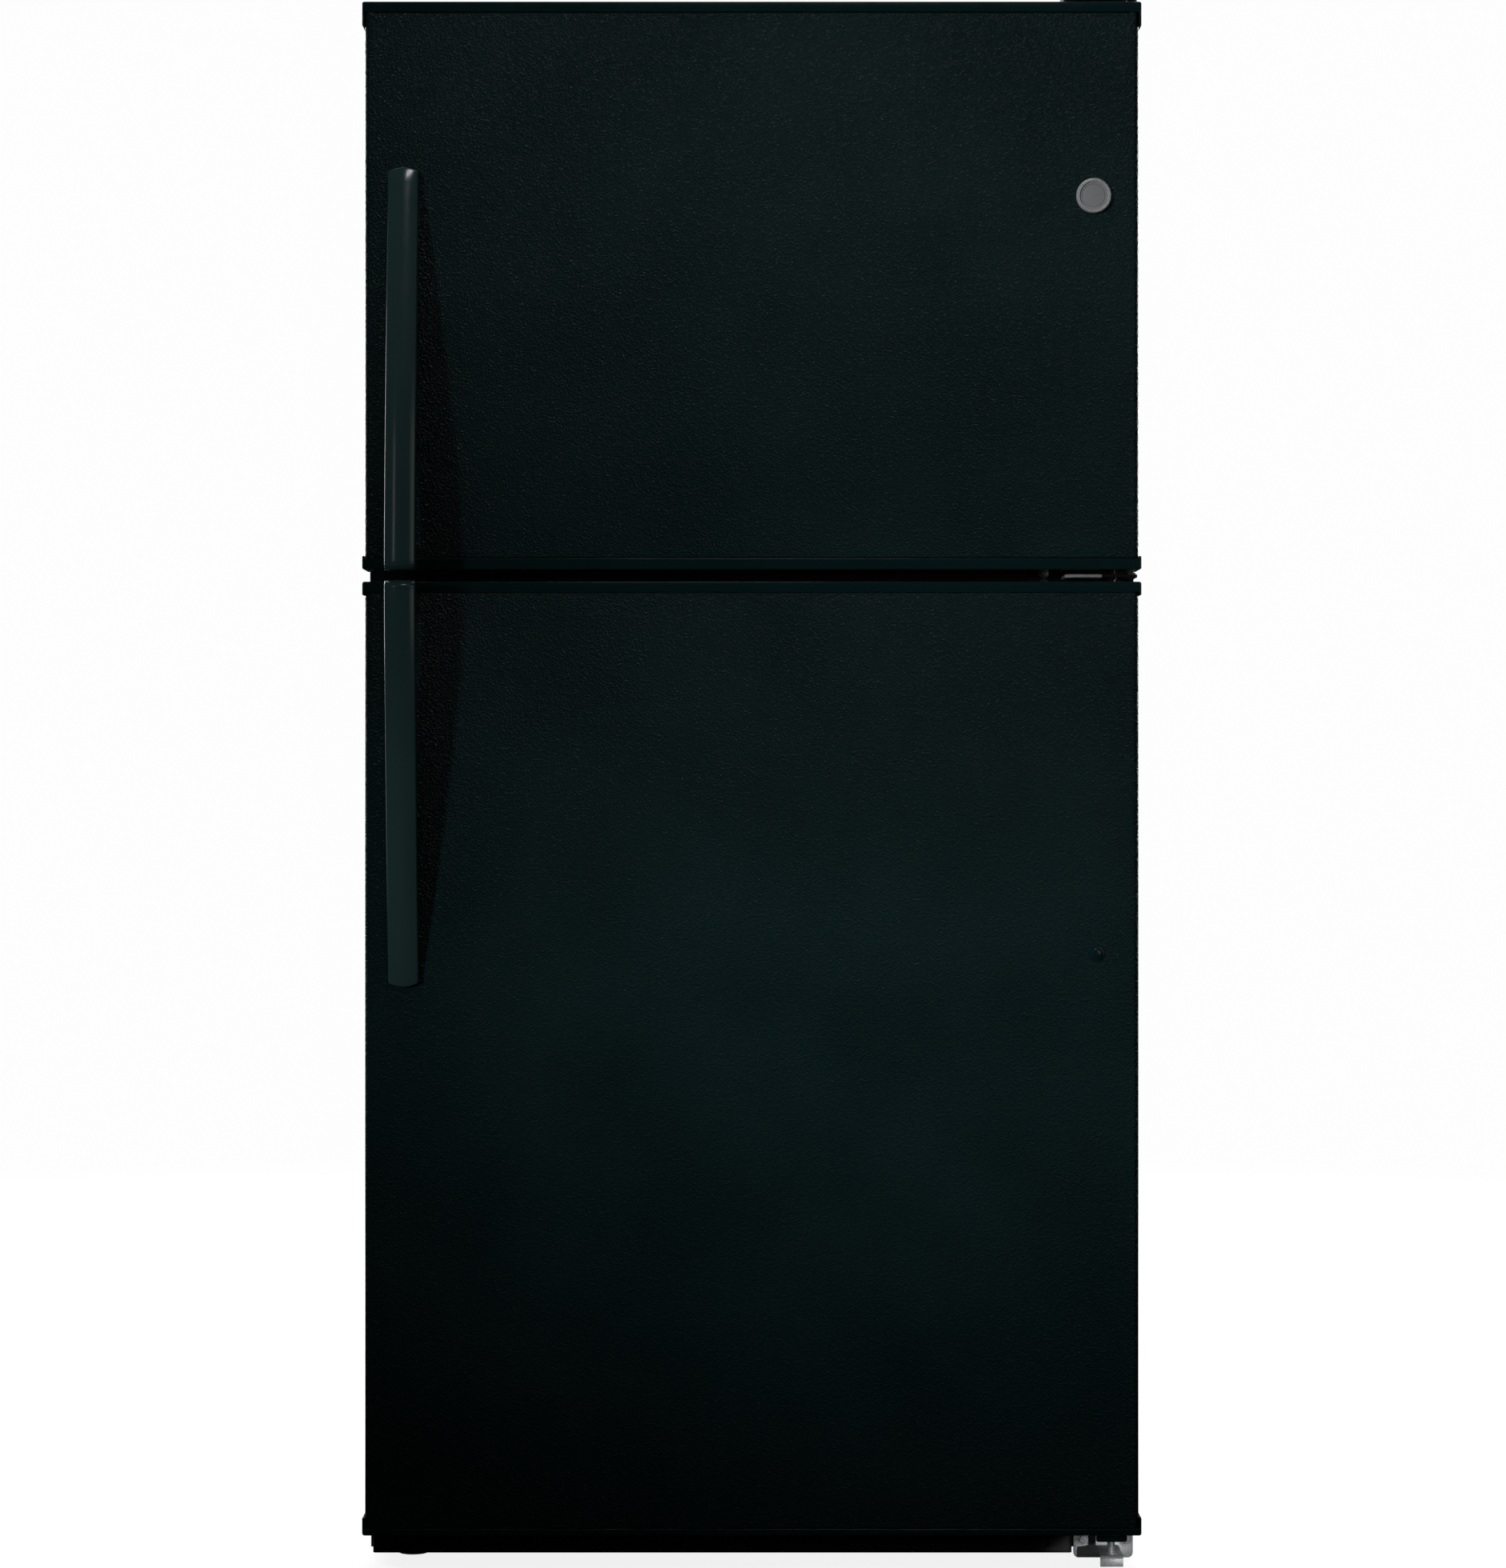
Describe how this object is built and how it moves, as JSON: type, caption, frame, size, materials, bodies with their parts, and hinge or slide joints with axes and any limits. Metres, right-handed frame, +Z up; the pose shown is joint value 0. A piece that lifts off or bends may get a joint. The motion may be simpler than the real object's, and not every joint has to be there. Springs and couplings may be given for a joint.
{
  "type": "top freezer refrigerator",
  "caption": "Free-standing black top freezer refrigerator with two hinged doors, arched handles, glass shelves, drawers and a rear machine compartment.",
  "frame": {"origin": "on the floor, under the middle of the overall box", "axes": "+Z up, -Y out of the doors towards the user, +X to the right as seen from the front"},
  "size_m": [0.8356, 0.837, 1.695],
  "materials": {
    "black_enamel": "satin",
    "gloss_black_plastic": "gloss",
    "black_plastic": "satin",
    "white_liner": "satin",
    "rigid_foam": "matte",
    "zinc_plate": "satin",
    "grey_hinge_steel": "satin",
    "clear_plastic": "gloss",
    "shelf_glass": "polished",
    "grey_gasket": "matte",
    "black_rubber": "matte",
    "chrome_trim": "polished",
    "bare_aluminium": "satin",
    "black_painted_steel": "satin",
    "cover_board": "matte"
  },
  "bodies": {
    "cabinet": {"cabinet_wrapper": "black_enamel", "cabinet_back_panel": "zinc_plate", "cabinet_insulation": "rigid_foam", "freezer_liner": "white_liner", "fridge_liner": "white_liner", "center_mullion": "black_enamel", "base_chassis": "zinc_plate", "base_grille": "black_plastic", "top_hinge": "grey_hinge_steel", "top_hinge_cover": "black_plastic", "center_hinge": "grey_hinge_steel", "bottom_hinge": "grey_hinge_steel", "compressor": "black_painted_steel", "condenser_coil": "black_painted_steel", "condenser_fan_motor": "zinc_plate", "drain_pan": "black_plastic", "machine_cover": "cover_board", "power_cord_grommet": "black_rubber", "evaporator_coil": "bare_aluminium", "evaporator_cover": "white_liner", "freezer_shelf": "white_liner", "fridge_shelf_upper": "shelf_glass", "fridge_shelf_lower": "shelf_glass", "crisper_cover": "shelf_glass", "control_housing": "white_liner"},
    "freezer_door": {"freezer_door_skin": "black_enamel", "freezer_door_core": "rigid_foam", "freezer_door_liner": "white_liner", "freezer_door_top_cap": "gloss_black_plastic", "freezer_door_bottom_cap": "gloss_black_plastic", "freezer_door_gasket": "grey_gasket", "freezer_door_handle": "gloss_black_plastic", "door_badge": "chrome_trim", "freezer_bin_lower": "clear_plastic", "freezer_bin_upper": "clear_plastic"},
    "fridge_door": {"fridge_door_skin": "black_enamel", "fridge_door_core": "rigid_foam", "fridge_door_liner": "white_liner", "fridge_door_top_cap": "gloss_black_plastic", "fridge_door_bottom_cap": "gloss_black_plastic", "fridge_door_gasket": "grey_gasket", "fridge_door_handle": "gloss_black_plastic", "handle_hole_plug": "gloss_black_plastic", "fridge_bin_lower": "clear_plastic", "fridge_bin_middle": "clear_plastic", "fridge_bin_upper": "clear_plastic"},
    "dairy_lid_body": {"dairy_lid": "clear_plastic"},
    "leveling_leg_left_body": {"leveling_leg_left": "zinc_plate"},
    "leveling_leg_right_body": {"leveling_leg_right": "zinc_plate"},
    "rear_roller_left_body": {"rear_roller_left": "black_plastic"},
    "rear_roller_right_body": {"rear_roller_right": "black_plastic"},
    "condenser_fan_blade_body": {"condenser_fan_blade": "black_plastic"},
    "evaporator_fan_blade_body": {"evaporator_fan_blade": "black_plastic"},
    "crisper_drawer_left_body": {"crisper_drawer_left": "clear_plastic"},
    "crisper_drawer_right_body": {"crisper_drawer_right": "clear_plastic"},
    "humidity_slider_left_body": {"humidity_slider_left": "white_liner"},
    "humidity_slider_right_body": {"humidity_slider_right": "white_liner"},
    "freezer_temp_knob_body": {"freezer_temp_knob": "white_liner"},
    "fridge_temp_knob_body": {"fridge_temp_knob": "white_liner"},
    "light_switch_plunger_body": {"light_switch_plunger": "white_liner"}
  },
  "joints": [
    {"name": "freezer_door_hinge", "type": "hinge", "parent": "cabinet", "child": "freezer_door", "pos_m": [0.3865, -0.3455, 1.3795], "axis": [0, 0, 1], "range_deg": [0, 125]},
    {"name": "fridge_door_hinge", "type": "hinge", "parent": "cabinet", "child": "fridge_door", "pos_m": [0.3865, -0.3455, 0.5505], "axis": [0, 0, 1], "range_deg": [0, 125]},
    {"name": "dairy_lid_hinge", "type": "hinge", "parent": "fridge_door", "child": "dairy_lid_body", "pos_m": [0, -0.2146, 0.966], "axis": [1, 0, 0], "range_deg": [0, 85]},
    {"name": "leveling_leg_left_turn", "type": "hinge", "parent": "cabinet", "child": "leveling_leg_left_body", "pos_m": [-0.372, -0.2475, 0.02], "axis": [0, 0, 1], "range_deg": [-360, 360]},
    {"name": "leveling_leg_right_turn", "type": "hinge", "parent": "cabinet", "child": "leveling_leg_right_body", "pos_m": [0.372, -0.2475, 0.02], "axis": [0, 0, 1], "range_deg": [-360, 360]},
    {"name": "rear_roller_left_spin", "type": "hinge", "parent": "cabinet", "child": "rear_roller_left_body", "pos_m": [-0.394, 0.3535, 0.02], "axis": [1, 0, 0], "continuous": true},
    {"name": "rear_roller_right_spin", "type": "hinge", "parent": "cabinet", "child": "rear_roller_right_body", "pos_m": [0.394, 0.3535, 0.02], "axis": [1, 0, 0], "continuous": true},
    {"name": "condenser_fan_spin", "type": "hinge", "parent": "cabinet", "child": "condenser_fan_blade_body", "pos_m": [0.07, 0.3005, 0.16], "axis": [1, 0, 0], "continuous": true},
    {"name": "evaporator_fan_spin", "type": "hinge", "parent": "cabinet", "child": "evaporator_fan_blade_body", "pos_m": [0, 0.3155, 1.516], "axis": [0, 1, 0], "continuous": true},
    {"name": "crisper_left_slide", "type": "slide", "parent": "cabinet", "child": "crisper_drawer_left_body", "axis": [0, -1, 0], "range_m": [0, 0.055]},
    {"name": "crisper_right_slide", "type": "slide", "parent": "cabinet", "child": "crisper_drawer_right_body", "axis": [0, -1, 0], "range_m": [0, 0.055]},
    {"name": "humidity_left_slide", "type": "slide", "parent": "crisper_drawer_left_body", "child": "humidity_slider_left_body", "axis": [1, 0, 0], "range_m": [-0.03, 0.03]},
    {"name": "humidity_right_slide", "type": "slide", "parent": "crisper_drawer_right_body", "child": "humidity_slider_right_body", "axis": [1, 0, 0], "range_m": [-0.03, 0.03]},
    {"name": "freezer_knob_turn", "type": "hinge", "parent": "cabinet", "child": "freezer_temp_knob_body", "pos_m": [-0.1, 0.0375, 0.9885], "axis": [0, -1, 0], "range_deg": [-135, 135]},
    {"name": "fridge_knob_turn", "type": "hinge", "parent": "cabinet", "child": "fridge_temp_knob_body", "pos_m": [0.1, 0.0375, 0.9885], "axis": [0, -1, 0], "range_deg": [-135, 135]},
    {"name": "light_switch_press", "type": "slide", "parent": "cabinet", "child": "light_switch_plunger_body", "axis": [0, 1, 0], "range_m": [0, 0.005], "stiffness_N_per_m": 120}
  ]
}
